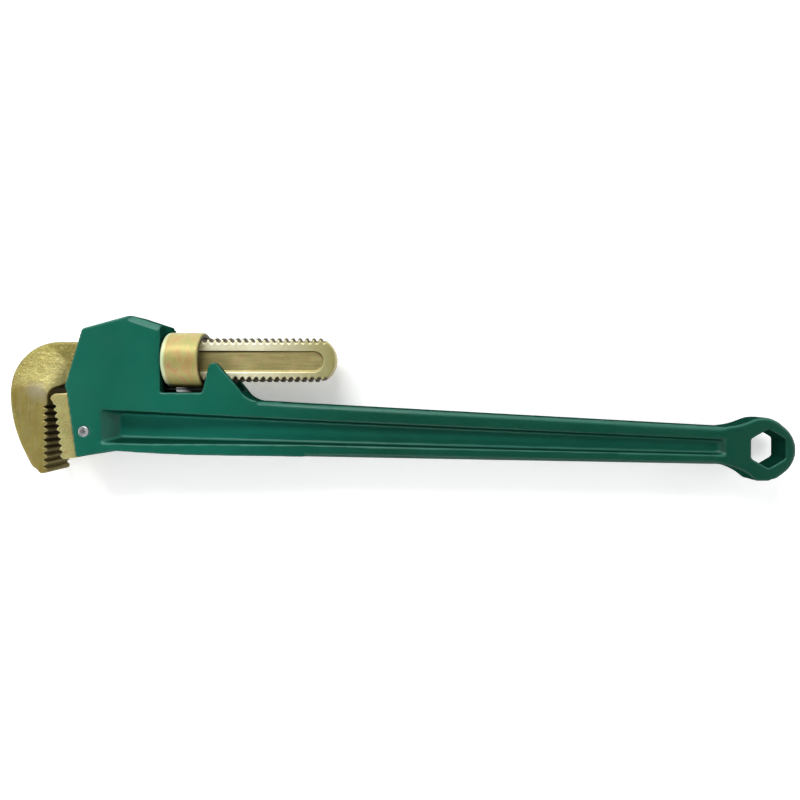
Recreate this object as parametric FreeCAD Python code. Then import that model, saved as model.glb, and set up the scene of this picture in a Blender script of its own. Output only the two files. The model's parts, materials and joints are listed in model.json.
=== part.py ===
import FreeCAD, Part
import math
import os
from FreeCAD import Placement, Rotation, Vector

# A heavy straight pipe wrench, in millimetres. While it is modelled, the middle of the adjusting nut is at
# (0, 0, 0): +X runs along the hook jaw's shank towards the hanging ring, +Y is the side away from the mouth
# of the jaws, and +Z is through the thickness, so that the wrench lies on its flat side. At the end
# everything moves so that the origin is under the middle of the whole wrench, where it lies.

X_AXIS = Vector(1, 0, 0)
Y_AXIS = Vector(0, 1, 0)
Z_AXIS = Vector(0, 0, 1)
TALL = 120.0                    # half of a cutter that has to pass right through

# Shank of the hook jaw and its thread.
PITCH = 7.0
THREAD_R = 22.35                # crest
THREAD_DEPTH = 3.2
ROOT_R = THREAD_R - THREAD_DEPTH
CREST_HALF = 1.2                # half width of a tooth at its crest
FLANK_SLOPE = 0.35              # half width gained per millimetre of depth
SHANK_HALF_T = 10.5
SHANK_END_X = 150.4
NECK_END_X = -30.0              # the plain neck ends and the thread starts here
NECK_TOP = 18.1
NECK_BOTTOM = -24.0
PANEL_HALF_H = 10.4             # long panel sunk into both sides of the shank
PANEL_DEPTH = 2.2
PANEL_Y = -1.5
PANEL_END_X = 138.3

# Adjusting nut.
NUT_R = 27.7
NUT_HALF_L = 18.6
NUT_CHAMFER = 3.0
MESH_GAP = 0.42                 # between the nut's thread and the shank's, all round

# Hook jaw.
JAW_HALF_T = 21.2
HOOK_TEETH_X = -131.3
HOOK_TOOTH_DEPTH = 3.5
HOOK_TEETH = 10
TOOTH_PITCH = 6.5
TOOTH_FLAT = 1.9
HOOK_TEETH_TOP = -43.3
PAD_CORNER = Vector(-133.2, -28.2, 0)      # top corner of the flat cheek
SLOPE_CORNER = Vector(-117.0, 16.0, 0)     # where the slope round it meets the shank

# Heel jaw, whose toothed face leans away from the hook's.
HEEL_LEAN = math.radians(8.0)
HEEL_HALF_T = 21.0
HEEL_TEETH = 8
HEEL_TOOTH_DEPTH = 3.0
HEEL_TEETH_START = Vector(-125.4, -43.0, 0)
SEAT_TOP = Vector(-111.0, -32.4, 0)
SEAT_BOTTOM = Vector(-102.2, -96.0, 0)
SEAT_GAP = 0.1
TANG_HALF_T = 11.0
TANG_DEPTH = 22.0
TANG_TOP = -57.0
TANG_BOTTOM = -84.0
PIN = Vector(-94.8, -70.5, 0)
PIN_R = 5.0
PIN_FIT = 0.05

# Handle: the head, the saddle behind the nut, the tapering beam and the hanging ring.
HEAD_HALF_T = 22.5
HEAD_FRONT = Vector(-96.2, 30.7, 0)
HEAD_APEX = Vector(-49.5, 43.6, 0)
WINDOW_LEFT = -20.4
WINDOW_RIGHT = 20.1
HEAD_REAR = Vector(WINDOW_LEFT, 34.0, 0)
FLOOR_Y = -32.4                 # floor of the nut's window, which runs on into the head and the saddle
PASSAGE_HALF_T = SHANK_HALF_T + 0.6
PASSAGE_TOP = THREAD_R + 0.4
LIP_Y = NECK_BOTTOM - 1.8       # floor of the passage's mouth
LIP_BACK_X = -90.0
ROCKER_R = 4.0                  # half-round rib across the mouth's floor, on which the shank rocks
ROCKER = Vector(-105.0, NECK_BOTTOM - 0.4 - ROCKER_R, 0)
BEAM_HALF_T = 15.0
BEAM_FULL_X = 120.0             # where the taper of the saddle ends and the beam's own gentle taper starts
BEAM_START = Vector(74.0, -41.0, 0)
BEAM_END = Vector(538.0, -66.3, 0)
BOTTOM_START = Vector(17.3, -94.4, 0)
BOTTOM_END = Vector(533.0, -104.2, 0)
WEB_HALF_T = 6.0
RING_CENTRE = Vector(576.5, -89.0, 0)
RING_R = 32.7
RING_HALF_T = 13.1
RING_START_X = 530.0
HANDLE_STATIONS = (             # x, and half the thickness there
    (-130.0, HEAD_HALF_T),
    (-30.0, HEAD_HALF_T),
    (20.0, 19.3),
    (60.0, 17.2),
    (BEAM_FULL_X, BEAM_HALF_T),
    (RING_START_X, RING_HALF_T),
    (630.0, RING_HALF_T),
)
FOOT_Y = -120.6                 # flat foot under the ring
HEX_CENTRE = Vector(581.4, -88.6, 0)
HEX_ACROSS_FLATS = 33.8

# Springs.
LEAF_T = 1.2
LEAF_HALF_W = 10.0
LEAF_TOP = -28.45               # under the nut
LEAF_REAR_TOP = -THREAD_R - 0.4
LEAF_FRONT_X = -86.0
LEAF_REAR_X = 47.0
COIL_X = 36.0
COIL_R = 6.0
COIL_WIRE_R = 1.0
COIL_TURNS = 6
POCKET_R = 8.2
POCKET_BOTTOM = -48.4
RIVET_R = 2.5


def at(x, y, z=0.0):
    return Vector(x, y, z)


def outline(*pieces):
    """A closed flat face in the XY plane. A piece is a point, or a pair: a point on the arc and its end."""
    edges = []
    start = pieces[0]
    here = start
    for piece in pieces[1:] + (start,):
        if isinstance(piece, tuple):
            edges.append(Part.Arc(here, piece[0], piece[1]).toShape())
            here = piece[1]
        elif piece.distanceToPoint(here) > 1e-6:
            edges.append(Part.LineSegment(here, piece).toShape())
            here = piece
    return Part.Face(Part.Wire(edges))


def slab(face, half_t):
    """The face made into a plate of twice half_t, centred on the mid-plane."""
    plate = face.extrude(Z_AXIS * 2 * half_t)
    plate.translate(Z_AXIS * -half_t)
    return plate


def block(low_x, high_x, low_y, high_y, half_t):
    return Part.makeBox(high_x - low_x, high_y - low_y, 2 * half_t, at(low_x, low_y, -half_t))


def both_sides(shape):
    """The shape and its mirror image in the mid-plane."""
    return [shape, shape.mirror(Vector(0, 0, 0), Z_AXIS)]


def along_x(shape):
    """Turns a shape built round Z so that it lies round X."""
    shape.Placement = Placement(Vector(0, 0, 0), Rotation(Y_AXIS, 90)).multiply(shape.Placement)
    return shape


def screw(turns_before, turns_after, root_r, crest_r, half_at_crest):
    """A threaded rod along X. Every one is in step with the nut's middle, whatever its number of turns."""
    inner_r = root_r - 0.7
    half_at_inner = half_at_crest + FLANK_SLOPE * (crest_r - inner_r)
    corners = [
        at(inner_r, 0, -half_at_inner),
        at(crest_r, 0, -half_at_crest),
        at(crest_r, 0, half_at_crest),
        at(inner_r, 0, half_at_inner),
    ]
    profile = Part.makePolygon(corners + corners[:1])
    helix = Part.makeHelix(PITCH, PITCH * (turns_before + turns_after), inner_r)
    ridge = Part.Wire(helix).makePipeShell([profile], True, True)
    ridge.translate(Z_AXIS * -PITCH * turns_before)
    low, high = -PITCH * turns_before - 4.0, PITCH * turns_after + 4.0
    core = Part.makeCylinder(root_r, high - low, at(0, 0, low))
    return along_x(core).fuse(along_x(ridge))


def teeth_gaps(first, direction, into, count, depth):
    """V gaps between jaw teeth: count of them along direction, each cut to depth along into."""
    gaps = []
    half = (TOOTH_PITCH - TOOTH_FLAT) / 2
    mouth = half * 1.1
    for i in range(count):
        middle = first + direction * (TOOTH_PITCH * (i + 0.5))
        face = outline(
            middle - direction * mouth - into * (0.1 * depth),
            middle - direction * 0.35 + into * depth,
            middle + direction * 0.35 + into * depth,
            middle + direction * mouth - into * (0.1 * depth),
        )
        gaps.append(slab(face, TALL))
    return gaps


def hook_outline():
    tip_y = HOOK_TEETH_TOP - HOOK_TEETH * TOOTH_PITCH - TOOTH_FLAT
    return outline(
        at(NECK_END_X, NECK_TOP),
        at(-127.0, NECK_TOP),
        (at(-155.2, 6.4), at(-167.4, -24.0)),
        (at(-165.4, -56.0), at(-155.7, -86.3)),
        at(-147.8, -102.3),
        (at(-145.2, -105.6), at(-141.5, -107.9)),
        (at(-137.5, -111.5), at(HOOK_TEETH_X - 1.5, tip_y - 1.0)),
        at(HOOK_TEETH_X, tip_y),
        at(HOOK_TEETH_X, -36.0),
        (at(-128.7, -29.6), at(-122.5, -26.6)),
        at(-116.5, NECK_BOTTOM),
        at(NECK_END_X, NECK_BOTTOM),
    )


def cheek_pad():
    """The raised side of the hook behind its teeth, which slopes down to the shank's own thickness."""
    far_left, far_low = -240.0, -160.0
    wires = []
    for corner, radius, z in ((PAD_CORNER, 7.0, JAW_HALF_T), (SLOPE_CORNER, 28.0, SHANK_HALF_T)):
        swing = radius * math.sqrt(0.5)
        centre = corner - at(radius, radius)
        edges = [
            Part.Arc(at(corner.x, centre.y), centre + at(swing, swing), at(centre.x, corner.y)).toShape(),
            Part.LineSegment(at(centre.x, corner.y), at(far_left, corner.y)).toShape(),
            Part.LineSegment(at(far_left, corner.y), at(far_left, far_low)).toShape(),
            Part.LineSegment(at(far_left, far_low), at(corner.x, far_low)).toShape(),
            Part.LineSegment(at(corner.x, far_low), at(corner.x, centre.y)).toShape(),
        ]
        wire = Part.Wire(edges)
        wire.translate(Z_AXIS * z)
        wires.append(wire)
    return Part.makeLoft(wires, True, True)


def soften(shape, radius, wanted):
    """Rounds the edges for which wanted(edge) is true."""
    return shape.makeFillet(radius, [edge for edge in shape.Edges if wanted(edge)])


def hook_body():
    face = hook_outline()
    thick = slab(face, JAW_HALF_T)
    thin = slab(face, SHANK_HALF_T)
    pads = [thick.common(pad) for pad in both_sides(cheek_pad())]
    return thin.fuse(pads).removeSplitter()


def threaded_shank():
    start = NECK_END_X - 6.0
    past = THREAD_R + 1.0
    rod = screw(math.ceil(-start / PITCH), math.ceil(SHANK_END_X / PITCH), ROOT_R, THREAD_R, CREST_HALF)
    end = outline(
        at(start, -past),
        at(SHANK_END_X - past, -past),
        (at(SHANK_END_X, 0), at(SHANK_END_X - past, past)),
        at(start, past),
    )
    return rod.common(slab(end, SHANK_HALF_T))


def shank_panel():
    """The long sunk panel with round ends, one cutter for each side of the shank."""
    low, high = PANEL_Y - PANEL_HALF_H, PANEL_Y + PANEL_HALF_H
    left, right = NECK_END_X + 16.0, PANEL_END_X - PANEL_HALF_H
    face = outline(
        at(left, low),
        at(right, low),
        (at(PANEL_END_X, PANEL_Y), at(right, high)),
        at(left, high),
        (at(left - PANEL_HALF_H, PANEL_Y), at(left, low)),
    )
    cutter = face.extrude(Z_AXIS * TALL)
    cutter.translate(Z_AXIS * (SHANK_HALF_T - PANEL_DEPTH))
    return both_sides(cutter)


def hook_jaw():
    first = at(HOOK_TEETH_X, HOOK_TEETH_TOP)
    gaps = teeth_gaps(first, Y_AXIS * -1, X_AXIS * -1, HOOK_TEETH, HOOK_TOOTH_DEPTH)
    body = hook_body().cut(gaps + shank_panel())
    return body.fuse(threaded_shank().cut(shank_panel()))


def adjusting_nut():
    barrel = along_x(Part.makeCylinder(NUT_R, 2 * NUT_HALF_L, at(0, 0, -NUT_HALF_L)))
    barrel = soften(barrel, NUT_CHAMFER, lambda edge: edge.Curve.TypeId == "Part::GeomCircle")
    groove_half = CREST_HALF - FLANK_SLOPE * MESH_GAP + MESH_GAP * math.hypot(1.0, FLANK_SLOPE)
    tap = screw(4, 4, ROOT_R + MESH_GAP, THREAD_R + MESH_GAP, groove_half)
    mouth = Part.makeCone(THREAD_R + 1.4, ROOT_R - 0.6, 5.0, at(0, 0, -NUT_HALF_L - 0.2))
    mouth = along_x(mouth)
    return barrel.cut(tap).cut([mouth, mouth.mirror(Vector(0, 0, 0), X_AXIS)])


def seat_point(y, forward):
    """A point at height y on the heel jaw's seat, moved forward of it towards the hook."""
    share = (y - SEAT_TOP.y) / (SEAT_BOTTOM.y - SEAT_TOP.y)
    return at(SEAT_TOP.x + share * (SEAT_BOTTOM.x - SEAT_TOP.x) - forward, y)


def pin_hole():
    return Part.makeCylinder(PIN_R + PIN_FIT, 2 * TALL, PIN - Z_AXIS * TALL)


def heel_jaw():
    along = at(math.sin(HEEL_LEAN), -math.cos(HEEL_LEAN))
    into = at(math.cos(HEEL_LEAN), math.sin(HEEL_LEAN))
    foot = HEEL_TEETH_START + along * (HEEL_TEETH * TOOTH_PITCH + TOOTH_FLAT / 2)
    face = outline(
        seat_point(-33.0, SEAT_GAP),
        at(-121.0, -33.4),
        (at(-125.5, -34.6), at(-128.0, -37.6)),
        (at(-127.4, -39.6), at(-126.0, -41.0)),
        HEEL_TEETH_START,
        foot,
        at(foot.x + 2.2, foot.y - 2.2),
        seat_point(-96.6, SEAT_GAP),
    )
    front = slab(face, HEEL_HALF_T)
    front = front.cut(teeth_gaps(HEEL_TEETH_START, along, into, HEEL_TEETH, HEEL_TOOTH_DEPTH))
    tang = slab(
        outline(
            seat_point(TANG_TOP, 1.0),
            seat_point(TANG_TOP, -TANG_DEPTH),
            seat_point(TANG_BOTTOM, -TANG_DEPTH),
            seat_point(TANG_BOTTOM, 1.0),
        ),
        TANG_HALF_T,
    )
    return front.fuse(tang).cut(pin_hole()).removeSplitter()


def heel_jaw_pin():
    half_l = HEAD_HALF_T + 0.3
    pin = Part.makeCylinder(PIN_R, 2 * half_l, PIN - Z_AXIS * half_l)
    pin = soften(pin, 0.7, lambda edge: edge.Curve.TypeId == "Part::GeomCircle")
    return pin.cut(both_sides(star_recess(half_l)))


def star_recess(half_l):
    """A shallow six-lobed star in the pin's end."""
    points = []
    for i in range(12):
        reach = 2.9 if i % 2 == 0 else 1.7
        angle = math.radians(30 * i)
        points.append(PIN + at(reach * math.cos(angle), reach * math.sin(angle), half_l - 1.4))
    return outline(*points).extrude(Z_AXIS * 5.0)


def handle_side():
    """The handle seen from the side."""
    return outline(
        HEAD_FRONT,
        HEAD_APEX,
        HEAD_REAR,
        at(WINDOW_LEFT, FLOOR_Y),
        at(WINDOW_RIGHT, FLOOR_Y),
        at(25.8, -8.0),
        (at(30.6, -3.2), at(36.4, -6.2)),
        at(56.6, -29.8),
        (at(63.6, -37.2), BEAM_START),
        BEAM_END,
        (at(551.0, -64.6), at(563.4, -60.6)),
        (at(RING_CENTRE.x + 4.0, RING_CENTRE.y + 31.4), at(RING_CENTRE.x + 21.3, RING_CENTRE.y + 22.2)),
        (at(RING_CENTRE.x + RING_R, RING_CENTRE.y), at(RING_CENTRE.x + 20.6, RING_CENTRE.y - 24.1)),
        (at(RING_CENTRE.x + 13.6, RING_CENTRE.y - 28.6), at(583.0, FOOT_Y + 1.4)),
        at(582.4, FOOT_Y),
        at(569.4, FOOT_Y),
        (at(555.0, -111.0), BOTTOM_END),
        BOTTOM_START,
        (at(-20.0, -92.6), at(-62.9, -89.8)),
        SEAT_BOTTOM,
        SEAT_TOP,
        at(-113.2, -26.5),
    )


def handle_half_t(x):
    """Half the handle's thickness at x: constant in the head, then tapering as far as the ring."""
    for (low_x, low), (high_x, high) in zip(HANDLE_STATIONS, HANDLE_STATIONS[1:]):
        if x <= high_x:
            return low + (high - low) * (x - low_x) / (high_x - low_x)
    return high


def handle_plan():
    """The handle seen along Y."""
    points = [at(x, -2 * TALL, half) for x, half in HANDLE_STATIONS]
    points += [at(x, -2 * TALL, -half) for x, half in reversed(HANDLE_STATIONS)]
    face = Part.Face(Part.makePolygon(points + points[:1]))
    return face.extrude(Y_AXIS * 4 * TALL)


def on_line(start, end, x):
    """The point at x on the line through start and end."""
    return start + (end - start) * ((x - start.x) / (end.x - start.x))


def bevel(start, end, size):
    """Cutters for a bevel on both sides of the handle, whose metal is to the right of start to end."""
    way = (end - start).normalize()
    inward = at(way.y, -way.x)
    past = 6.0
    ends = []
    for point, half in ((start - way * 0.5, handle_half_t(start.x)), (end + way * 0.5, handle_half_t(end.x))):
        corners = [
            point + inward * size + Z_AXIS * half,
            point + Z_AXIS * (half - size),
            point - inward * past + Z_AXIS * (half - size),
            point - inward * past + Z_AXIS * (half + past),
            point + inward * size + Z_AXIS * (half + past),
        ]
        ends.append(Part.makePolygon(corners + corners[:1]))
    return both_sides(Part.makeLoft(ends, True, True))


def handle_bevels():
    """Bevels along the top of the head, and along the top and the bottom of the beam."""
    beam_top = on_line(BEAM_START, BEAM_END, BEAM_FULL_X)
    beam_bottom = on_line(BOTTOM_START, BOTTOM_END, BEAM_FULL_X)
    cutters = bevel(HEAD_APEX, HEAD_REAR, 5.5)
    cutters += bevel(HEAD_FRONT, HEAD_APEX, 1.5)
    cutters += bevel(BEAM_START, beam_top, 3.5)
    cutters += bevel(beam_top, BEAM_END, 3.5)
    cutters += bevel(BOTTOM_END, beam_bottom, 3.0)
    return cutters


def side_recess():
    """The long tapering pocket in each side of the beam, with sloping walls and a ramp at each end."""
    draft = 0.27
    ramp = 0.85
    wires = []
    for z in (WEB_HALF_T, HEAD_HALF_T + 4.0):
        grow = draft * (z - 14.0)
        reach = ramp * (z - 14.0)
        corners = [
            at(-72.0 - reach, -51.4 + grow, z),
            at(541.0 + reach, -78.9 + grow, z),
            at(541.0 + reach, -95.2 - grow, z),
            at(-72.0 - reach, -79.5 - grow, z),
        ]
        wires.append(Part.makePolygon(corners + corners[:1]))
    return both_sides(Part.makeLoft(wires, True, True))


def shank_passage():
    """The way through the head for the shank, open at the front, less the rib that the shank rocks on."""
    front = block(-130.0, LIP_BACK_X, LIP_Y, PASSAGE_TOP, PASSAGE_HALF_T)
    rear = block(LIP_BACK_X, WINDOW_LEFT + 1.0, FLOOR_Y + 5.0, PASSAGE_TOP, PASSAGE_HALF_T)
    rib = Part.makeCylinder(ROCKER_R, 2 * TALL, ROCKER - Z_AXIS * TALL)
    return front.cut(rib).fuse(rear)


def leaf_channel():
    return block(LIP_BACK_X, WINDOW_LEFT + 1.0, FLOOR_Y, FLOOR_Y + 6.0, LEAF_HALF_W + 0.5)


def saddle_channel():
    return block(WINDOW_RIGHT - 1.0, 120.0, FLOOR_Y, TALL, PASSAGE_HALF_T)


def spring_pocket():
    height = FLOOR_Y + 1.0 - POCKET_BOTTOM
    return Part.makeCylinder(POCKET_R, height, at(COIL_X, POCKET_BOTTOM), Y_AXIS)


def tang_slot():
    grow = 0.3
    return slab(
        outline(
            seat_point(TANG_TOP + grow, 5.0),
            seat_point(TANG_TOP + grow, -TANG_DEPTH - grow),
            seat_point(TANG_BOTTOM - grow, -TANG_DEPTH - grow),
            seat_point(TANG_BOTTOM - grow, 5.0),
        ),
        TANG_HALF_T + grow,
    )


def hex_hole():
    reach = HEX_ACROSS_FLATS / math.sqrt(3)
    points = []
    for i in range(6):
        angle = math.radians(60 * i + 30)
        points.append(HEX_CENTRE + at(reach * math.cos(angle), reach * math.sin(angle)))
    return slab(outline(*points), TALL)


def handle():
    body = slab(handle_side(), TALL).common(handle_plan())
    cutters = [shank_passage(), leaf_channel(), saddle_channel(), spring_pocket(), tang_slot()]
    cutters += [pin_hole(), hex_hole()]
    return body.cut(handle_bevels() + side_recess()).cut(cutters)


def flat_spring():
    """A strip that lies in the channel, dips under the nut and rises under the rear of the shank."""
    nut_clear = NUT_HALF_L + 1.5
    profile = [
        (LEAF_FRONT_X, LEAF_TOP - 1.2),
        (LEAF_FRONT_X + 4.0, LEAF_TOP),
        (nut_clear, LEAF_TOP),
        (nut_clear + 8.0, LEAF_REAR_TOP),
        (LEAF_REAR_X, LEAF_REAR_TOP),
    ]
    top = [at(x, y) for x, y in profile]
    under = [point - Y_AXIS * LEAF_T for point in reversed(top)]
    strip = slab(outline(*(top + under)), LEAF_HALF_W)
    hole = Part.makeCylinder(RIVET_R + PIN_FIT, 10.0, at(COIL_X, LEAF_REAR_TOP - 5.0), Y_AXIS)
    return strip.cut(hole)


def spring_rivet():
    """Flush with the flat spring's top; its head underneath sits inside the coil."""
    under = LEAF_REAR_TOP - LEAF_T
    stem = Part.makeCylinder(RIVET_R, LEAF_T + 1.0, at(COIL_X, under - 1.0), Y_AXIS)
    inside = COIL_R - COIL_WIRE_R
    head = Part.makeCone(inside - 1.4, inside - 0.4, 2.4, at(COIL_X, under - 2.45), Y_AXIS)
    return stem.fuse(head).removeSplitter()


def coil_spring():
    low = POCKET_BOTTOM + 0.1 + COIL_WIRE_R
    high = LEAF_REAR_TOP - LEAF_T - 0.1 - COIL_WIRE_R
    helix = Part.makeHelix((high - low) / COIL_TURNS, high - low, COIL_R)
    section = Part.Wire(Part.makeCircle(COIL_WIRE_R, at(COIL_R, 0), Y_AXIS))
    coil = Part.Wire(helix).makePipeShell([section], True, True)
    coil.Placement = Placement(at(COIL_X, low), Rotation(X_AXIS, -90)).multiply(coil.Placement)
    return coil


def main():
    parts = {
        "handle": handle(),
        "hook_jaw": hook_jaw(),
        "heel_jaw": heel_jaw(),
        "heel_jaw_pin": heel_jaw_pin(),
        "adjusting_nut": adjusting_nut(),
        "flat_spring": flat_spring(),
        "spring_rivet": spring_rivet(),
        "coil_spring": coil_spring(),
    }
    box = Part.makeCompound(list(parts.values())).optimalBoundingBox(False, False)
    to_origin = at(-box.Center.x, -box.Center.y, -box.ZMin)
    os.makedirs("parts", exist_ok=True)
    print("nut's middle", [round(value, 4) for value in to_origin])
    print("rocker's middle", [round(value, 4) for value in ROCKER + to_origin])
    for name, shape in parts.items():
        shape.translate(to_origin)
        shape.exportStep("parts/" + name + ".step")
        print(name, shape.ShapeType, len(shape.Solids), shape.isValid(), round(shape.Volume))


main()
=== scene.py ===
import json
import math

import bmesh
import bpy
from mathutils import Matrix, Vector


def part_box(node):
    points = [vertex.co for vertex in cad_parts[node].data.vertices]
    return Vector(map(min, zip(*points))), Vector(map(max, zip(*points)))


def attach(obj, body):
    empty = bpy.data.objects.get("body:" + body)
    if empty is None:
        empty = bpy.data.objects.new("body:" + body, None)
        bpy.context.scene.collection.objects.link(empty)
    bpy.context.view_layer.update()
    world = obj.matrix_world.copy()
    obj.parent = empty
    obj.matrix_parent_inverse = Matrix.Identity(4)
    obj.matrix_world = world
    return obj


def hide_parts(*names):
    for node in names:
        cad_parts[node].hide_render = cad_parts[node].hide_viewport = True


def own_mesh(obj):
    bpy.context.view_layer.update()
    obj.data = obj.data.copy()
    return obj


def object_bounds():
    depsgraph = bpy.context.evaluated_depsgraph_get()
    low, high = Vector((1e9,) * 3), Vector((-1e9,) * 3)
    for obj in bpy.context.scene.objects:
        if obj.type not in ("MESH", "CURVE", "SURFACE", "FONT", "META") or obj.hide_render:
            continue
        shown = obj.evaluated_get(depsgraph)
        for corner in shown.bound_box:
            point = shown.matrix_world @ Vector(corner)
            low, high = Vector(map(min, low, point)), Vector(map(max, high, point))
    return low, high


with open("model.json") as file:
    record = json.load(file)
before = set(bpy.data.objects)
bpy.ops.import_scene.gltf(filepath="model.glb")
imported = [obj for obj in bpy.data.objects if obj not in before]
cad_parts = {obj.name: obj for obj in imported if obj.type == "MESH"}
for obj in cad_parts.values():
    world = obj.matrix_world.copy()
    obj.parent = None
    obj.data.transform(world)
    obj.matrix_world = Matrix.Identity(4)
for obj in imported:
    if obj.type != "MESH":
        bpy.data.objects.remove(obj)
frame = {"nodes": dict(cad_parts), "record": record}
CAD_LOW, CAD_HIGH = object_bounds()

MM = 0.001
RECORD = frame["record"]
NODE_BODY = {node: body for body, nodes in RECORD["behaviour"]["bodies"].items() for node in nodes}

# The wrench lies on its side and the camera looks straight down on it.
LENS = 27.05                     # for a sensor 36 mm wide
CAMERA_FROM_NUT = Vector((219.8, -25.1, 610.0)) * MM
CAMERA_SHIFT = (-0.00625, -0.01875)

# Sizes of the casting and the forging that no box of the frame gives.
SHANK_HALF_T = 10.5 * MM
THREAD_SHADE_FROM = 17 * MM      # from the shank's axis, about 2 mm short of the thread's root
PANEL_HALF_H = 10.4 * MM         # the sunk panel along the shank
PANEL_BELOW_AXIS = 1.5 * MM
PANEL_END_GAP = 12 * MM          # from the panel to the end of the shank
WEB_HALF_T = 6 * MM              # the web between the handle's two side recesses
RING_RADIUS = 32.7 * MM
RAMP_FROM_PIN = 12 * MM          # from the heel jaw's pin to the ramp that ends the recess

# Each skin is fine enough to keep clear of its neighbours as the CAD bodies do.
HANDLE_VOXEL = 1.25 * MM
HOOK_VOXEL = 0.75 * MM
HEEL_VOXEL = 0.7 * MM
NUT_VOXEL = 0.5 * MM

# Linear red, green and blue of the enamel.
# The head's greens are painted lighter and the beam's darker, as painted light and shade.
LIT_HEAD_GREENS = (0.0035, 0.087, 0.056), (0.005, 0.106, 0.069)
SHADED_BEAM_GREENS = (0.0030, 0.046, 0.027), (0.0040, 0.056, 0.033)
MOTTLED_GREEN = (0.004, 0.070, 0.052)
SIDE_SHADE_GREEN = (0.003, 0.022, 0.014)
SLOPE_HIGHLIGHT_GREEN = (0.040, 0.165, 0.120)
THIN_GREEN = (0.030, 0.150, 0.105)
HOLLOW_SHADE_GREEN = (0.002, 0.022, 0.015)
WEB_LIGHT_GAIN = (1.35, 1.45, 1.55)
CHIPPED_IRON = (0.08, 0.09, 0.08)

# Linear colours of the zinc, each pair from dark to light. The film is orange, yellow, green and pink.
FORGED_ZINCS = (0.20, 0.172, 0.052), (0.29, 0.26, 0.088)
CHEEK_ZINCS = (0.21, 0.17, 0.046), (0.29, 0.24, 0.072)
MILLED_HIGHLIGHT_ZINCS = (0.72, 0.68, 0.48), (0.86, 0.83, 0.64)
SUNK_ZINCS = (0.32, 0.28, 0.13), (0.43, 0.38, 0.20)
FINE_ZINCS = (0.31, 0.28, 0.12), (0.44, 0.41, 0.20)
FILM_TINTS = (0.86, 0.50, 0.20), (0.80, 0.66, 0.24), (0.62, 0.70, 0.22), (0.84, 0.56, 0.38)
BRIGHT_SPECK = (0.54, 0.49, 0.24)
DARK_SPECK = (0.13, 0.105, 0.028)
THROAT_HIGHLIGHT = (0.54, 0.48, 0.20)
INNER_HIGHLIGHT = (0.56, 0.50, 0.22)
GRINDING_MARK = (0.36, 0.33, 0.20)
BARE_STEEL = (0.42, 0.38, 0.29)
SIDE_SHADE_ZINC = (0.085, 0.070, 0.022)
SHANK_END = (0.33, 0.30, 0.11)
PANEL_STREAK = (0.22, 0.17, 0.07)
THREAD_AND_PANEL_SHADE = (0.045, 0.032, 0.010)
TOOTH_SHADE = (0.13, 0.10, 0.020)
HOLLOW_SHADE_ZINC = (0.03, 0.022, 0.008)
BODY_EDGE = (0.62, 0.57, 0.36)
SHANK_EDGE = (0.22, 0.18, 0.07)
FINE_BRIGHT = (0.60, 0.57, 0.36)
FINE_DARK = (0.20, 0.17, 0.06)
FINE_EDGE = (0.60, 0.57, 0.38)
NUT_BANDS = (
    (0.37, 0.235, 0.075), (0.37, 0.29, 0.092), (0.28, 0.29, 0.080), (0.38, 0.29, 0.10), (0.38, 0.215, 0.085)
)
NUT_RING = (0.48, 0.42, 0.21)
NUT_REAR_SHADE = (0.035, 0.028, 0.008)
NUT_FRONT_HIGHLIGHT = (0.60, 0.74, 0.48)
NUT_HOLLOW_SHADE = (0.08, 0.05, 0.02)
NUT_EDGE = (0.90, 0.84, 0.62)

# Linear colours of the bare steels and of the floor.
PIN_STEELS = (0.50, 0.50, 0.52), (0.78, 0.78, 0.78)
PIN_HOLLOW_SHADE = (0.16, 0.13, 0.14)
PIN_EDGE_HIGHLIGHT = (0.92, 0.92, 0.90)
SHADED_SPRING_STEELS = (0.05, 0.05, 0.055), (0.09, 0.088, 0.09), (0.14, 0.12, 0.10)
FLOOR_WHITES = (0.90, 0.90, 0.90), (0.94, 0.94, 0.94)
FLOOR_SHADE = (0.05, 0.05, 0.05)


# ---------------------------------------------------------------- shader nodes

def add(tree, kind, inputs=None, **settings):
    """A shader node with its settings, and with its inputs as values or as links from other sockets."""
    made = tree.nodes.new("ShaderNode" + kind)
    for key, value in settings.items():
        setattr(made, key, value)
    for key, value in (inputs or {}).items():
        if isinstance(value, bpy.types.NodeSocket):
            tree.links.new(value, made.inputs[key])
        else:
            made.inputs[key].default_value = value
    return made


def place(tree, stretch=(1.0, 1.0, 1.0)):
    """The object's own coordinates in metres, stretched along its axes."""
    coordinates = add(tree, "TexCoord").outputs["Object"]
    return add(tree, "Mapping", {"Vector": coordinates, "Scale": stretch}).outputs["Vector"]


def split(tree, vector):
    """The X, Y and Z of a vector."""
    return add(tree, "SeparateXYZ", {"Vector": vector}).outputs


def noise(tree, where, size, detail=3.0, rough=0.55, distort=0.0):
    """Noise whose features are about size metres wide, from 0 to 1."""
    inputs = {"Vector": where, "Scale": 1.0 / size, "Detail": detail}
    inputs.update({"Roughness": rough, "Distortion": distort})
    return add(tree, "TexNoise", inputs).outputs["Fac"]


def spread(tree, value, low, high, to_low=0.0, to_high=1.0):
    """A value mapped so that low gives to_low and high gives to_high, and held there beyond."""
    inputs = {"Value": value, "From Min": low, "From Max": high, "To Min": to_low, "To Max": to_high}
    return add(tree, "MapRange", inputs).outputs["Result"]


def calc(tree, operation, first, second=0.0):
    return add(tree, "Math", {0: first, 1: second}, operation=operation).outputs[0]


def product(tree, first, *others):
    for other in others:
        first = calc(tree, "MULTIPLY", first, other)
    return first


def distance_from(tree, value, middle):
    return calc(tree, "ABSOLUTE", calc(tree, "SUBTRACT", value, middle))


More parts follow.
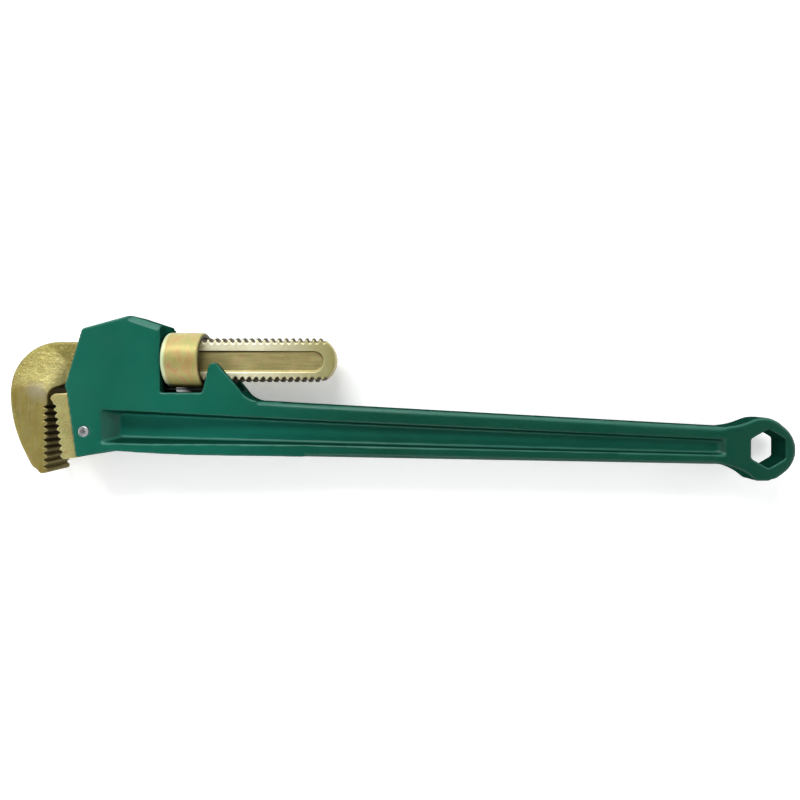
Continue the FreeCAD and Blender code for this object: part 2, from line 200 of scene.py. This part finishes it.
def blend_colour(tree, share, first, second, mode="MIX"):
    """The first colour changed towards the second by share; each is a tuple or a socket."""
    def full(colour):
        return colour if isinstance(colour, bpy.types.NodeSocket) else (*colour, 1.0)
    inputs = {0: share, 6: full(first), 7: full(second)}
    return add(tree, "Mix", inputs, data_type="RGBA", blend_type=mode).outputs[2]


def tint(tree, colour, other, share, most=1.0):
    """A colour changed towards another by the mask share, and at most by the share most."""
    return blend_colour(tree, product(tree, share, most), colour, other)


def ramp(tree, value, positions, colours):
    """The colours one after the other, as the value goes through the positions."""
    made = add(tree, "ValToRGB", {"Fac": value})
    points = made.color_ramp.elements
    while len(points) < len(colours):
        points.new(1.0)
    for point, position, colour in zip(points, positions, colours):
        point.position = position
        point.color = (*colour, 1.0)
    return made.outputs["Color"]


def bump(tree, height, depth, under=None):
    """Bump of the given depth in metres, on top of an earlier one."""
    inputs = {"Height": height, "Distance": depth, "Strength": 1.0}
    if under is not None:
        inputs["Normal"] = under
    return add(tree, "Bump", inputs).outputs["Normal"]


def finish_material(name, constants, links):
    """A material whose shader sockets are set to constants, and then linked by the function links(tree)."""
    material = bpy.data.materials.new(name)
    material.use_nodes = True
    tree = material.node_tree
    shader = tree.nodes["Principled BSDF"]
    for socket, value in constants.items():
        shader.inputs[socket].default_value = value
    for socket, source in links(tree).items():
        tree.links.new(source, shader.inputs[socket])
    return material


def edges_and_hollows(tree):
    """How much a point is on an outer edge, and how much it is in an inner corner."""
    pointiness = add(tree, "NewGeometry").outputs["Pointiness"]
    return spread(tree, pointiness, 0.52, 0.60), spread(tree, pointiness, 0.48, 0.42)


def facing(tree, axis):
    """The part of a surface's direction that is along an axis, from -1 to 1."""
    return split(tree, add(tree, "NewGeometry").outputs["Normal"])[axis]


def upright(tree, flat=0.75, steep=0.30):
    """1 where a surface stands upright, 0 where it lies flat."""
    return spread(tree, calc(tree, "ABSOLUTE", facing(tree, "Z")), flat, steep)


def near(tree, where, point, reach):
    """1 at a point, fading to 0 at the distance reach from it."""
    distance = add(tree, "VectorMath", {0: where, 1: point}, operation="DISTANCE").outputs["Value"]
    return spread(tree, distance, reach, 0.0)


# ---------------------------------------------------------------- green paint

def enamel_greens(tree, where, along, head_end):
    """Patches of green, painted lighter on the head and darker along the beam as painted light and shade.
    """
    patches = noise(tree, where, 90 * MM, 2.0)
    head = ramp(tree, patches, (0.3, 0.7), LIT_HEAD_GREENS)
    beam = ramp(tree, patches, (0.3, 0.7), SHADED_BEAM_GREENS)
    # painted shade: the greens darken from the head's end along the beam
    colour = blend_colour(tree, spread(tree, along, head_end, head_end + 170 * MM), head, beam)
    mottle = spread(tree, noise(tree, where, 6 * MM, 4.0), 0.35, 0.65)
    return tint(tree, colour, MOTTLED_GREEN, mottle, 0.08)


def green_paint():
    """Enamel, painted lighter on the head and darker along the beam as painted light and shade, and darker
    down the upright sides of the casting as painted shade.
    """
    head_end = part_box("adjusting_nut")[1].x + 10 * MM
    low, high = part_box("handle")
    middle = (low.z + high.z) / 2

    def links(tree):
        where = place(tree)
        edge, hollow = edges_and_hollows(tree)
        steep = upright(tree)
        spot = split(tree, where)
        colour = enamel_greens(tree, where, spot["X"], head_end)
        from_middle = distance_from(tree, spot["Z"], middle)
        # painted light: the web between the recesses lifted lighter against the shade there
        web = spread(tree, from_middle, WEB_HALF_T + 2.5 * MM, WEB_HALF_T + 0.5 * MM)
        colour = blend_colour(tree, web, colour, WEB_LIGHT_GAIN, "MULTIPLY")
        # painted shade down the upright sides of the casting
        colour = tint(tree, colour, SIDE_SHADE_GREEN, steep, 0.8)
        # painted highlight on sloping faces that turn towards +Y, where the light falls
        tilted = spread(tree, facing(tree, "Y"), 0.12, 0.45)
        sloped = product(tree, tilted, calc(tree, "SUBTRACT", 1.0, steep))
        colour = tint(tree, colour, SLOPE_HIGHLIGHT_GREEN, sloped, 0.55)
        worn = spread(tree, noise(tree, where, 14 * MM), 0.35, 0.6)
        colour = tint(tree, colour, THIN_GREEN, product(tree, edge, worn), 0.35)
        # painted shade in inner corners
        colour = tint(tree, colour, HOLLOW_SHADE_GREEN, hollow, 0.75)
        chips = product(tree, edge, spread(tree, noise(tree, where, 3 * MM, 5.0), 0.70, 0.74))
        colour = tint(tree, colour, CHIPPED_IRON, chips)
        normal = bump(tree, noise(tree, where, 2.2 * MM, 4.0, 0.6), 0.10 * MM)
        normal = bump(tree, noise(tree, where, 0.9 * MM, 1.0), 0.03 * MM, normal)
        rough = spread(tree, noise(tree, where, 25 * MM), 0.3, 0.7, 0.30, 0.42)
        return {"Base Color": colour, "Roughness": calc(tree, "MAXIMUM", rough, chips), "Normal": normal,
                "Specular IOR Level": spread(tree, steep, 0.0, 0.8, 0.20, 0.0)}
    return finish_material("green_paint", {}, links)


# ---------------------------------------------------------------- zinc on the hook

def zinc_colours(tree, where, dark_and_light, share=0.35):
    """Yellow zinc: cloudy from dark to light, with faint pink and green interference tints."""
    clouds = noise(tree, where, 22 * MM, 4.0, 0.6, 0.4)
    colour = ramp(tree, clouds, (0.32, 0.68), dark_and_light)
    film = noise(tree, where, 15 * MM, 3.0, 0.6, 1.2)
    tints = ramp(tree, film, (0.30, 0.45, 0.55, 0.70), FILM_TINTS)
    return blend_colour(tree, share, colour, tints, "OVERLAY")


def forged_skin(tree, where, throat):
    """The hook's body as it left the die: specked, with a painted highlight at the throat and on its inner
    side.
    """
    colour = zinc_colours(tree, where, FORGED_ZINCS, 0.2)
    specks = noise(tree, where, 1.7 * MM, 3.0, 0.6)
    colour = tint(tree, colour, BRIGHT_SPECK, spread(tree, specks, 0.54, 0.68), 0.55)
    colour = tint(tree, colour, DARK_SPECK, spread(tree, specks, 0.46, 0.32), 0.55)
    # painted highlight at the throat and on faces that turn towards +X
    colour = tint(tree, colour, THROAT_HIGHLIGHT, near(tree, where, throat, 36 * MM), 0.55)
    return tint(tree, colour, INNER_HIGHLIGHT, spread(tree, facing(tree, "X"), 0.08, 0.30), 0.35)


def ground_cheek(tree, where, throat, marks):
    """The hook's flat cheeks, with grinding marks and steel laid bare near the throat."""
    colour = zinc_colours(tree, where, CHEEK_ZINCS, 0.2)
    colour = tint(tree, colour, GRINDING_MARK, spread(tree, marks, 0.40, 0.70), 0.3)
    return tint(tree, colour, BARE_STEEL, near(tree, where, throat, 20 * MM), 0.9)


def panel_corner(tree, along, above, panel_end):
    """1 in the shaded corner along the top and round the end of the shank's sunk panel."""
    past_end = calc(tree, "MAXIMUM", calc(tree, "SUBTRACT", along, panel_end), 0.0)
    squares = calc(tree, "ADD", product(tree, past_end, past_end), product(tree, above, above))
    from_spine = calc(tree, "SQRT", squares)
    outside = spread(tree, from_spine, PANEL_HALF_H - 1.8 * MM, PANEL_HALF_H - 0.8 * MM)
    inside = spread(tree, from_spine, PANEL_HALF_H + 0.5 * MM, PANEL_HALF_H)
    return product(tree, outside, inside, spread(tree, above, -2 * MM, 5 * MM))


def milled_shank(tree, where, from_middle):
    """The shank: painted pale by the nut as a painted highlight and darker at its end, with a sunk panel,
    painted shade on the thread and a painted shadow round the top and end of the panel.
    """
    nut_low, nut_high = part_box("adjusting_nut")
    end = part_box("hook_jaw")[1].x
    spot = split(tree, where)
    axis_y = (nut_low.y + nut_high.y) / 2
    # painted highlight: pale by the nut, fading to darker zinc towards the shank's end
    to_end = spread(tree, spot["X"], nut_high.x + 50 * MM, end)
    milled = blend_colour(tree, to_end, zinc_colours(tree, where, MILLED_HIGHLIGHT_ZINCS, 0.1), SHANK_END)
    streaks = noise(tree, place(tree, (0.05, 1.0, 1.0)), 1.8 * MM, 3.0)
    sunk = zinc_colours(tree, where, SUNK_ZINCS, 0.2)
    sunk = tint(tree, sunk, PANEL_STREAK, spread(tree, streaks, 0.4, 0.7), 0.5)
    panel = spread(tree, from_middle, SHANK_HALF_T - 0.5 * MM, SHANK_HALF_T - 1.5 * MM)
    colour = blend_colour(tree, panel, milled, sunk)
    off_face = spread(tree, from_middle, SHANK_HALF_T - 0.15 * MM, SHANK_HALF_T - 0.6 * MM)
    from_axis = distance_from(tree, spot["Y"], axis_y)
    far_out = spread(tree, from_axis, THREAD_SHADE_FROM, THREAD_SHADE_FROM + 1.5 * MM)
    thread = product(tree, off_face, far_out)
    above = calc(tree, "SUBTRACT", spot["Y"], axis_y - PANEL_BELOW_AXIS)
    corner = panel_corner(tree, spot["X"], above, end - PANEL_END_GAP - PANEL_HALF_H)
    corner = product(tree, corner, spread(tree, to_end, 0.0, 1.0, 1.0, 0.6))
    # painted shade on the thread's flanks and a painted shadow round the sunk panel's top and end
    return tint(tree, colour, THREAD_AND_PANEL_SHADE, calc(tree, "MAXIMUM", thread, corner))


def forged_zinc():
    """The hook: rough as forged on its body, ground flat on its cheeks, paler and milled on its shank."""
    low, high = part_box("hook_jaw")
    heel_low, heel_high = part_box("heel_jaw")
    shank_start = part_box("adjusting_nut")[0].x - 50 * MM
    middle, half = (low.z + high.z) / 2, (high.z - low.z) / 2
    throat = (heel_low.x - 8 * MM, heel_high.y + 8 * MM, high.z)

    def links(tree):
        where = place(tree)
        edge, hollow = edges_and_hollows(tree)
        spot = split(tree, where)
        from_middle = distance_from(tree, spot["Z"], middle)
        ragged = spread(tree, noise(tree, where, 9 * MM, 3.0), 0.3, 0.7, -0.8 * MM, 0.8 * MM)
        ground = spread(tree, calc(tree, "ADD", from_middle, ragged), half - 1.6 * MM, half - 0.1 * MM)
        shank = spread(tree, spot["X"], shank_start, shank_start + 30 * MM)
        marks = noise(tree, place(tree, (1.0, 0.06, 1.0)), 1.6 * MM, 3.0)
        body = forged_skin(tree, where, throat)
        colour = blend_colour(tree, ground, body, ground_cheek(tree, where, throat, marks))
        # painted shade on the hook's upright sides
        colour = tint(tree, colour, SIDE_SHADE_ZINC, upright(tree, 0.80, 0.50), 0.8)
        colour = blend_colour(tree, shank, colour, milled_shank(tree, where, from_middle))

        toothed = spread(tree, spot["X"], heel_low.x - 12 * MM, heel_low.x - 9 * MM)
        toothed = product(tree, toothed, calc(tree, "SUBTRACT", 1.0, shank), upright(tree))
        colour = tint(tree, colour, TOOTH_SHADE, toothed)
        rubbed = blend_colour(tree, shank, BODY_EDGE, SHANK_EDGE)
        colour = tint(tree, colour, rubbed, edge, 0.5)
        # painted shade in inner corners
        colour = tint(tree, colour, HOLLOW_SHADE_ZINC, hollow, 0.9)
        pits = noise(tree, where, 2.4 * MM, 5.0, 0.65)
        lumps = noise(tree, where, 9 * MM, 2.0)
        rugged = spread(tree, calc(tree, "MAXIMUM", ground, shank), 0.0, 1.0, 1.0, 0.12)
        normal = bump(tree, product(tree, pits, rugged), 0.6 * MM)
        normal = bump(tree, product(tree, lumps, rugged), 0.8 * MM, normal)
        normal = bump(tree, product(tree, marks, ground), 0.06 * MM, normal)
        rough = spread(tree, pits, 0.3, 0.7, 0.38, 0.58)
        return {"Base Color": colour, "Roughness": rough, "Normal": normal}
    return finish_material("yellow_zinc_forged", {"Metallic": 0.6, "Specular IOR Level": 0.2}, links)


# ---------------------------------------------------------------- other metals

def fine_zinc():
    """The heel jaw: paler, with a fine even grain and painted shade on its toothed face."""
    face_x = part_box("heel_jaw")[0].x

    def links(tree):
        where = place(tree)
        edge, hollow = edges_and_hollows(tree)
        colour = zinc_colours(tree, where, FINE_ZINCS, 0.3)
        grain = noise(tree, where, 1.8 * MM, 4.0, 0.65)
        colour = tint(tree, colour, FINE_BRIGHT, spread(tree, grain, 0.5, 0.7), 0.5)
        colour = tint(tree, colour, FINE_DARK, spread(tree, grain, 0.46, 0.32), 0.4)
        toothed = spread(tree, split(tree, where)["X"], face_x + 13 * MM, face_x + 11 * MM)
        colour = tint(tree, colour, TOOTH_SHADE, product(tree, upright(tree), toothed))
        colour = tint(tree, colour, FINE_EDGE, edge, 0.6)
        # painted shade in inner corners
        colour = tint(tree, colour, HOLLOW_SHADE_ZINC, hollow, 0.9)
        rough = spread(tree, grain, 0.3, 0.7, 0.38, 0.52)
        return {"Base Color": colour, "Roughness": rough, "Normal": bump(tree, grain, 0.30 * MM)}
    return finish_material("yellow_zinc_fine", {"Metallic": 0.7}, links)


def turned_zinc():
    """The nut: turned rings round X under a film of zinc that shimmers in bands."""
    low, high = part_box("adjusting_nut")

    def links(tree):
        where = place(tree)
        edge, hollow = edges_and_hollows(tree)
        bands = noise(tree, place(tree, (1.0, 0.4, 0.4)), 9 * MM, 3.0, 0.55, 0.6)
        colour = ramp(tree, bands, (0.34, 0.44, 0.51, 0.58, 0.68), NUT_BANDS)
        rings = noise(tree, place(tree, (1.0, 0.02, 0.02)), 0.9 * MM, 4.0, 0.7)
        colour = tint(tree, colour, NUT_RING, spread(tree, rings, 0.3, 0.7), 0.3)
        along = split(tree, where)["X"]
        # painted shade on the nut's rear end
        rear = spread(tree, along, high.x - 1.6 * MM, high.x - 0.2 * MM)
        colour = tint(tree, colour, NUT_REAR_SHADE, rear)
        # painted highlight on the nut's front chamfer, tinted pale green as a painted reflection of the
        # head
        front = spread(tree, along, low.x + 5.5 * MM, low.x + 3.0 * MM)
        colour = tint(tree, colour, NUT_FRONT_HIGHLIGHT, front, 0.7)
        # painted shade in inner corners
        colour = tint(tree, colour, NUT_HOLLOW_SHADE, hollow, 0.9)
        colour = tint(tree, colour, NUT_EDGE, edge, 0.4)
        rough = spread(tree, noise(tree, where, 8 * MM), 0.3, 0.7, 0.40, 0.54)
        return {"Base Color": colour, "Roughness": rough, "Normal": bump(tree, rings, 0.10 * MM)}
    return finish_material("yellow_zinc_turned", {"Metallic": 0.3, "Specular IOR Level": 0.3}, links)


def pin_steel():
    """The heel jaw's pin: bright steel with smears, a painted highlight on its edges and painted shade in
    the hollow in its end.
    """
    def links(tree):
        where = place(tree)
        edge, hollow = edges_and_hollows(tree)
        smears = noise(tree, where, 2.5 * MM, 4.0)
        colour = ramp(tree, smears, (0.3, 0.7), PIN_STEELS)
        # painted shade in the end's hollow and a painted highlight on the edges
        colour = tint(tree, colour, PIN_HOLLOW_SHADE, hollow, 0.9)
        colour = tint(tree, colour, PIN_EDGE_HIGHLIGHT, edge, 0.5)
        turned = noise(tree, where, 0.4 * MM, 2.0)
        rough = spread(tree, smears, 0.3, 0.7, 0.26, 0.44)
        return {"Base Color": colour, "Roughness": rough, "Normal": bump(tree, turned, 0.03 * MM)}
    return finish_material("pin_steel", {"Metallic": 0.9}, links)


def spring_steel():
    """The springs and their rivet: dark steel with stains, painted darker still as painted shade in the
    slot under the nut, drawn along X.
    """
    def links(tree):
        stains = noise(tree, place(tree), 5 * MM, 4.0)
        # painted shade: the steel painted near black
        colour = ramp(tree, stains, (0.3, 0.55, 0.75), SHADED_SPRING_STEELS)
        drawn = noise(tree, place(tree, (0.08, 1.0, 1.0)), 0.5 * MM, 2.0)
        rough = spread(tree, stains, 0.3, 0.7, 0.25, 0.42)
        return {"Base Color": colour, "Roughness": rough, "Normal": bump(tree, drawn, 0.03 * MM)}
    return finish_material("spring_steel", {"Metallic": 0.95}, links)


# ---------------------------------------------------------------- pieces

def dress(piece, material):
    piece.data.materials.clear()
    piece.data.materials.append(material)
    for polygon in piece.data.polygons:
        polygon.material_index = 0


def stand_in(node, name):
    """A copy of a CAD node that rides on the node's body and is shown in its place."""
    piece = bpy.data.objects.new(name, frame["nodes"][node].data.copy())
    bpy.context.scene.collection.objects.link(piece)
    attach(piece, NODE_BODY[node])
    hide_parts(node)
    return piece


def apply_modifiers(piece):
    graph = bpy.context.evaluated_depsgraph_get()
    made = bpy.data.meshes.new_from_object(piece.evaluated_get(graph))
    piece.modifiers.clear()
    piece.data = made


def smooth_out(piece, rounds, weight=None):
    """Rounds edges off by averaging each point with its neighbours, as strongly as weight(point) says."""
    smooth = piece.modifiers.new("smooth", "SMOOTH")
    smooth.factor = 0.5
    smooth.iterations = rounds
    if weight is not None:
        group = piece.vertex_groups.new(name="soft")
        for vertex in piece.data.vertices:
            share = weight(vertex.co)
            if share > 0.0:
                group.add([vertex.index], share, "REPLACE")
        smooth.vertex_group = "soft"
    apply_modifiers(piece)
    piece.vertex_groups.clear()


def make_skin(node, voxel, rounds):
    """A finely remeshed copy of a CAD node with its edges rounded, which stands for the node."""
    piece = stand_in(node, node + "_skin")
    weld = piece.modifiers.new("weld", "WELD")
    weld.merge_threshold = 0.001 * MM
    remesh = piece.modifiers.new("remesh", "REMESH")
    remesh.mode = "VOXEL"
    remesh.voxel_size = voxel
    remesh.use_smooth_shade = True
    apply_modifiers(piece)
    smooth_out(piece, rounds)
    return piece


def ease(value, low, high):
    """0 up to low, 1 from high on, and a smooth step between."""
    share = min(max((value - low) / (high - low), 0.0), 1.0)
    return share * share * (3 - 2 * share)


def column(point):
    """Which 5 mm slice along the wrench a point is in."""
    return round(point.x / (5 * MM))


def highest_points(piece, floor_y):
    """The greatest Y of the piece in each slice along X."""
    tops = {}
    for vertex in piece.data.vertices:
        key = column(vertex.co)
        tops[key] = max(tops.get(key, floor_y), vertex.co.y)
    return tops


def make_handle():
    """The casting, with its ring, its beam's back and the ends of its side recesses blended softly."""
    piece = make_skin("handle", HANDLE_VOXEL, 3)
    low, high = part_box("handle")
    ring = Vector((high.x - RING_RADIUS, low.y + RING_RADIUS - 1 * MM, 0))
    neck_x = high.x - 2.6 * RING_RADIUS
    pin_low, pin_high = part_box("heel_jaw_pin")
    ramp_x = pin_high.x + RAMP_FROM_PIN
    saddle_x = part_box("hook_jaw")[1].x - 60 * MM
    tops = highest_points(piece, low.y)

    def weight(point):
        from_ring = math.hypot(point.x - ring.x, point.y - ring.y)
        outside_hole = ease(from_ring, 0.72 * RING_RADIUS, 0.84 * RING_RADIUS)
        ring_rim = outside_hole * ease(point.x, neck_x, neck_x + 12 * MM)
        under_ring = 1 - ease(abs(point.x - ring.x), 12 * MM, 17 * MM)
        foot = under_ring * (1 - ease(point.y, low.y + 4 * MM, low.y + 9 * MM))
        by_ramp = 1 - ease(abs(point.x - ramp_x), 9 * MM, 17 * MM)
        in_recess = 1 - ease(abs(point.y - pin_low.y), 14 * MM, 24 * MM)
        at_top = 1 - ease(tops[column(point)] - point.y, 6 * MM, 10 * MM)
        beam_top = at_top * ease(point.x, saddle_x, saddle_x + 20 * MM)
        return max(ring_rim * (1 - foot), by_ramp * in_recess, beam_top * (1 - foot))

    smooth_out(piece, 24, weight)
    dress(piece, green_paint())


def make_hook():
    """The forging, with its outer edges rounded off and its teeth and thread kept crisp."""
    piece = make_skin("hook_jaw", HOOK_VOXEL, 2)
    heel_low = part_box("heel_jaw")[0]

    def weight(point):
        left = 1 - ease(point.x, heel_low.x - 14 * MM, heel_low.x - 9 * MM)
        above = ease(point.y, heel_low.y + 64 * MM, heel_low.y + 72 * MM)
        ahead = 1 - ease(point.x, heel_low.x + 20 * MM, heel_low.x + 40 * MM)
        return max(left, above * ahead)

    smooth_out(piece, 40, weight)
    dress(piece, forged_zinc())


def make_heel():
    dress(make_skin("heel_jaw", HEEL_VOXEL, 3), fine_zinc())


def make_nut():
    dress(make_skin("adjusting_nut", NUT_VOXEL, 2), turned_zinc())


def make_coil(steel):
    """The coil spring, as a stand-in with a mesh of its own; the real spring shortens as the jaw rocks down
    onto it.
    """
    piece = stand_in("coil_spring", "coil_spring_live")
    dress(piece, steel)
    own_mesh(piece)


def dress_small_parts():
    nodes = frame["nodes"]
    dress(nodes["heel_jaw_pin"], pin_steel())
    steel = spring_steel()
    dress(nodes["flat_spring"], steel)
    dress(nodes["spring_rivet"], steel)
    make_coil(steel)


# ---------------------------------------------------------------- studio

def floor_material():
    """Nearly white, with a faint glow that keeps shadows light, but painted dark under the nut as painted
    shade, without the glow there.
    """
    nut_low, nut_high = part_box("adjusting_nut")
    nut_middle = (nut_low + nut_high) / 2
    shade = (nut_middle.x, nut_middle.y - 18 * MM, CAD_LOW.z)

    def links(tree):
        where = place(tree)
        clouds = noise(tree, where, 0.4, 3.0)
        colour = ramp(tree, clouds, (0.3, 0.7), FLOOR_WHITES)
        # painted shade under the nut: a darker colour and no glow
        under_nut = near(tree, where, shade, 22 * MM)
        dark = calc(tree, "MINIMUM", product(tree, under_nut, 3.0), 0.9)
        colour = tint(tree, colour, FLOOR_SHADE, dark)
        return {"Base Color": colour, "Emission Strength": spread(tree, under_nut, 0.0, 0.3, 0.30, 0.0)}
    constants = {"Roughness": 0.8, "Emission Color": (1.0, 1.0, 1.0, 1.0)}
    return finish_material("floor", constants, links)


def floor_profile():
    """Radius and height along the floor's section: flat, round the corner, and up the wall, in metres."""
    flat, corner, wall = 1.7, 1.3, 2.6
    steps = 16
    profile = [(flat, 0.0)]
    for i in range(1, steps + 1):
        angle = math.pi / 2 * i / steps
        profile.append((flat + corner * math.sin(angle), corner * (1 - math.cos(angle))))
    profile.append((flat + corner, wall))
    return profile


def make_floor():
    """A round floor that curves up into a wall far behind every camera."""
    profile = floor_profile()
    mesh = bmesh.new()
    sides = 64
    for radius, height in profile:
        for i in range(sides):
            angle = 2 * math.pi * i / sides
            mesh.verts.new((radius * math.cos(angle), radius * math.sin(angle), height))
    mesh.verts.ensure_lookup_table()
    mesh.faces.new([mesh.verts[i] for i in range(sides)])
    for row in range(len(profile) - 1):
        for i in range(sides):
            j = (i + 1) % sides
            a, b = row * sides, (row + 1) * sides
            mesh.faces.new([mesh.verts[k] for k in (a + i, a + j, b + j, b + i)])
    data = bpy.data.meshes.new("floor")
    mesh.to_mesh(data)
    mesh.free()
    for polygon in data.polygons:
        polygon.use_smooth = True
    data.polygons[0].use_smooth = False
    floor = bpy.data.objects.new("floor", data)
    bpy.context.scene.collection.objects.link(floor)
    floor.location.z = CAD_LOW.z - 0.2 * MM
    dress(floor, floor_material())


def area_light(name, spot, size, power):
    """A soft box at spot, which faces the middle of the wrench."""
    data = bpy.data.lights.new(name, "AREA")
    data.shape = "RECTANGLE"
    data.size, data.size_y = size
    data.energy = power
    light = bpy.data.objects.new(name, data)
    bpy.context.scene.collection.objects.link(light)
    light.location = spot
    light.rotation_euler = (-Vector(spot)).to_track_quat("-Z", "Y").to_euler()


def make_lights():
    """Soft boxes all round, high enough to light the flat faces and too low to be mirrored in them."""
    area_light("key", (-0.5, 1.4, 1.25), (1.4, 0.45), 33)
    area_light("fill", (-0.1, -1.4, 1.2), (1.4, 0.45), 12)
    area_light("head_side", (-1.75, 0.0, 1.2), (0.9, 0.45), 3)
    area_light("ring_side", (2.0, 0.0, 0.85), (0.9, 0.45), 4)
    area_light("rim", (0.0, 2.0, 0.32), (1.8, 0.25), 6)


def make_world():
    world = bpy.data.worlds.new("world")
    world.use_nodes = True
    background = world.node_tree.nodes["Background"]
    background.inputs["Color"].default_value = (0.9, 0.95, 1.0, 1.0)
    background.inputs["Strength"].default_value = 0.08
    bpy.context.scene.world = world


def make_camera():
    data = bpy.data.cameras.new("camera")
    data.lens = LENS
    data.shift_x, data.shift_y = CAMERA_SHIFT
    camera = bpy.data.objects.new("camera", data)
    bpy.context.scene.collection.objects.link(camera)
    nut_low, nut_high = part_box("adjusting_nut")
    camera.location = (nut_low + nut_high) / 2 + CAMERA_FROM_NUT
    bpy.context.scene.camera = camera


make_camera()
make_handle()
make_hook()
make_heel()
make_nut()
dress_small_parts()
make_floor()
make_lights()
make_world()
bpy.context.scene.view_settings.view_transform = "Standard"
